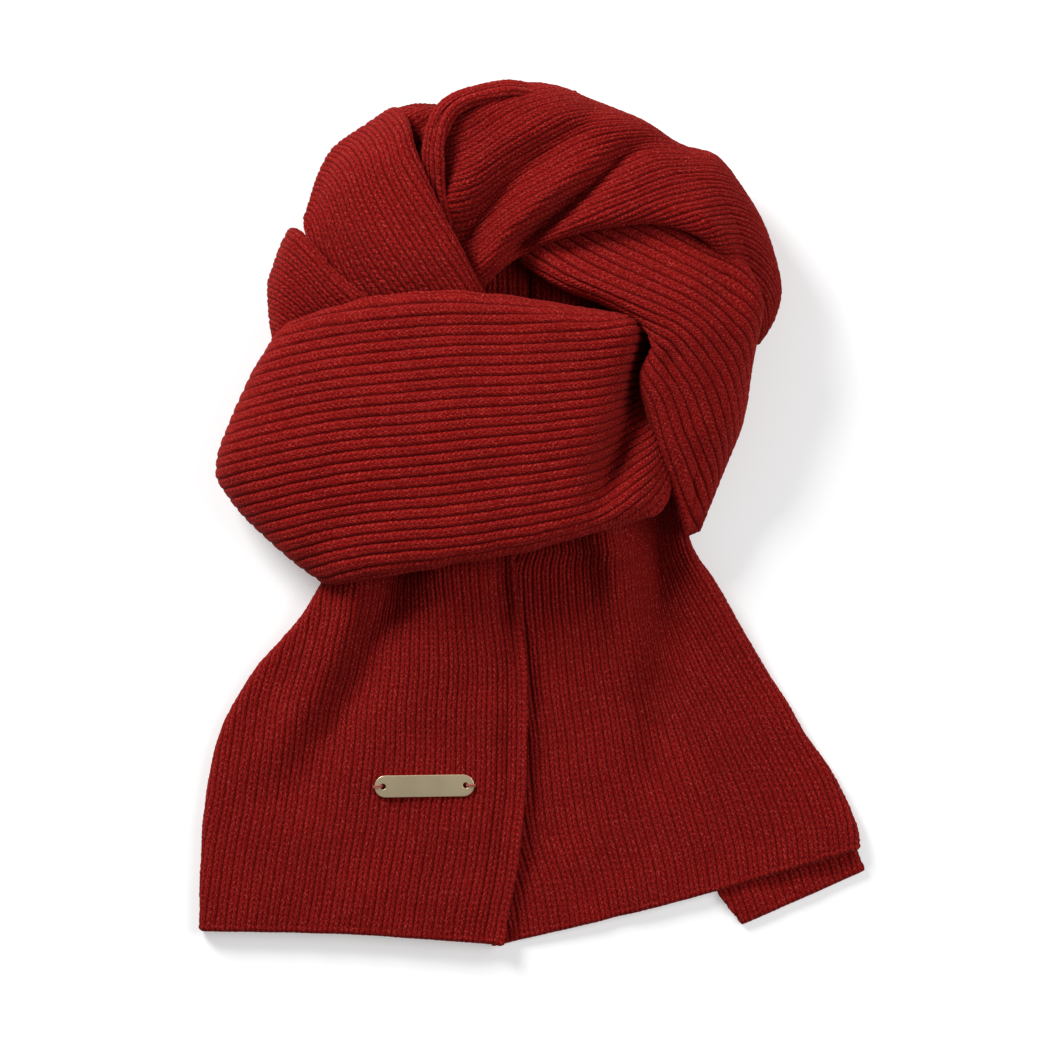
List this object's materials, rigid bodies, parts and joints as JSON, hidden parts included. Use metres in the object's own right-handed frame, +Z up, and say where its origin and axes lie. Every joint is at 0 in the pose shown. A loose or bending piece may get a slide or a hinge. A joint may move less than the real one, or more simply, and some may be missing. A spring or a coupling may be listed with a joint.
{
  "type": "ribbed knit scarf, looped and laid flat",
  "caption": "Ribbed knit scarf looped over itself and laid flat, its two ends side by side below a band that crosses them, with a small bare metal plate.",
  "frame": {"origin": "middle of the scarf's outline in plan, on the surface that it lies on", "axes": "+Z up from the surface, +Y from the hems towards the loop, +X to the right as seen from above with the hems nearest"},
  "size_m": [0.3347, 0.4319, 0.0656],
  "materials": {
    "knit": "matte ribbed knit with a short nap",
    "metal": "brushed"
  },
  "bodies": {
    "root": {"front_band": "knit", "far_left_stretch": "knit", "left_stretch": "knit", "rim_stretch": "knit", "top_stretch": "knit", "right_stretch": "knit", "back_left": "knit", "back_right": "knit", "tail_left": "knit", "tail_right": "knit", "tail_left_under": "knit", "tail_right_under": "knit", "inner_layers": "knit", "label_plate": "metal"}
  },
  "joints": []
}
